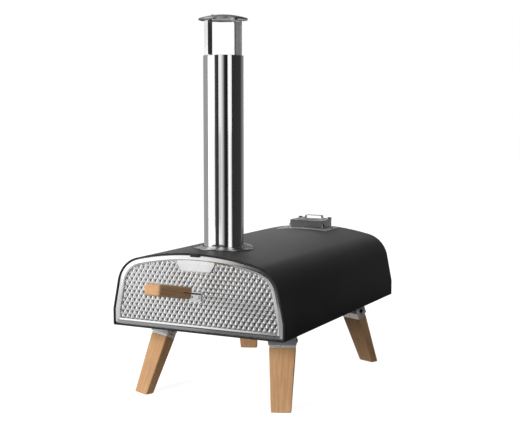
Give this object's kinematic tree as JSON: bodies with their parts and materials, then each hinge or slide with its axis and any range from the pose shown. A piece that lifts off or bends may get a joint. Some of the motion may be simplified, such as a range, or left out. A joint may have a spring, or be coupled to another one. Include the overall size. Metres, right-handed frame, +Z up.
{
  "type": "wood fired pizza oven",
  "caption": "Table-top wood fired pizza oven: arched insulated steel body, embossed tilting door, flue with rain cap, fuel hatch and tray, on splayed folding wooden legs.",
  "frame": {"origin": "on the ground, in the middle of the oven's whole length and width", "axes": "+Z up, -Y out of the mouth towards the cook, +X to the right for someone facing the mouth"},
  "size_m": [0.4, 0.9452, 0.805],
  "materials": {
    "black_coat": "matte powder coat",
    "stainless": "satin",
    "polished_steel": "polished",
    "zinc_plated": "plated",
    "black_fastener": "satin",
    "beech": "oiled",
    "fibre_wool": "matte",
    "cordierite": "matte",
    "scaled_steel": "heat scaled"
  },
  "bodies": {
    "oven_body": {"outer_shell": "black_coat", "base_pan": "black_coat", "rear_panel": "black_coat", "front_frame": "stainless", "inner_liner": "stainless", "roof_insulation": "fibre_wool", "liner_floor": "stainless", "floor_insulation": "fibre_wool", "pizza_stone": "cordierite", "flame_baffle": "stainless", "burner_housing": "stainless", "tray_rails": "stainless", "hopper_chute": "stainless", "hopper_base": "stainless", "hopper_base_screws": "stainless", "hopper_hinge_pins": "black_fastener", "chimney_flange": "stainless", "flange_screws": "stainless", "body_screws": "black_coat", "front_left_leg_bracket": "zinc_plated", "front_right_leg_bracket": "zinc_plated", "rear_left_leg_bracket": "zinc_plated", "rear_right_leg_bracket": "zinc_plated", "leg_pivots": "black_fastener", "bracket_screws": "stainless"},
    "door": {"door_skin": "stainless", "door_back": "stainless", "door_handle_bracket": "stainless", "door_handle": "beech", "door_handle_screws": "stainless", "door_rivets": "stainless"},
    "hatch_lid": {"hopper_lid": "stainless", "lid_handle": "stainless", "lid_handle_rivets": "black_fastener"},
    "fuel_tray": {"fuel_tray": "stainless", "fuel_grate": "scaled_steel", "tray_cover": "stainless", "tray_handle_bracket": "stainless", "tray_handle": "beech", "tray_handle_screws": "stainless", "tray_rivets": "stainless"},
    "chimney": {"chimney_tube": "polished_steel"},
    "rain_cap": {"cap_disc": "polished_steel", "cap_straps": "polished_steel", "cap_rivets": "stainless"},
    "front_left_leg": {"front_left_leg_cap": "zinc_plated", "front_left_leg": "beech", "front_left_leg_screws": "stainless"},
    "front_right_leg": {"front_right_leg_cap": "zinc_plated", "front_right_leg": "beech", "front_right_leg_screws": "stainless"},
    "rear_left_leg": {"rear_left_leg_cap": "zinc_plated", "rear_left_leg": "beech", "rear_left_leg_screws": "stainless"},
    "rear_right_leg": {"rear_right_leg_cap": "zinc_plated", "rear_right_leg": "beech", "rear_right_leg_screws": "stainless"}
  },
  "joints": [
    {"name": "door_tilt", "type": "hinge", "parent": "oven_body", "child": "door", "pos_m": [0, -0.3091, 0.312], "axis": [-1, 0, 0], "range_deg": [0, 80]},
    {"name": "lid_hinge", "type": "hinge", "parent": "oven_body", "child": "hatch_lid", "pos_m": [0, 0.2403, 0.326], "axis": [1, 0, 0], "range_deg": [0, 90]},
    {"name": "tray_slide", "type": "slide", "parent": "oven_body", "child": "fuel_tray", "axis": [0, 1, 0], "range_m": [0, 0.16]},
    {"name": "chimney_lift", "type": "slide", "parent": "oven_body", "child": "chimney", "axis": [0, 0, 1], "range_m": [0, 0.05]},
    {"name": "cap_lift", "type": "slide", "parent": "chimney", "child": "rain_cap", "axis": [0, 0, 1], "range_m": [0, 0.06]},
    {"name": "front_left_leg_fold", "type": "hinge", "parent": "oven_body", "child": "front_left_leg", "pos_m": [-0.14188, -0.19497, 0.13411], "axis": [0.9225, -0.3859, 0], "range_deg": [0, 113]},
    {"name": "front_right_leg_fold", "type": "hinge", "parent": "oven_body", "child": "front_right_leg", "pos_m": [0.14188, -0.19497, 0.13411], "axis": [0.9225, 0.3859, 0], "range_deg": [0, 113]},
    {"name": "rear_left_leg_fold", "type": "hinge", "parent": "oven_body", "child": "rear_left_leg", "pos_m": [-0.14188, 0.19157, 0.13411], "axis": [-0.9225, -0.3859, 0], "range_deg": [0, 113]},
    {"name": "rear_right_leg_fold", "type": "hinge", "parent": "oven_body", "child": "rear_right_leg", "pos_m": [0.14188, 0.19157, 0.13411], "axis": [-0.9225, 0.3859, 0], "range_deg": [0, 113]}
  ]
}
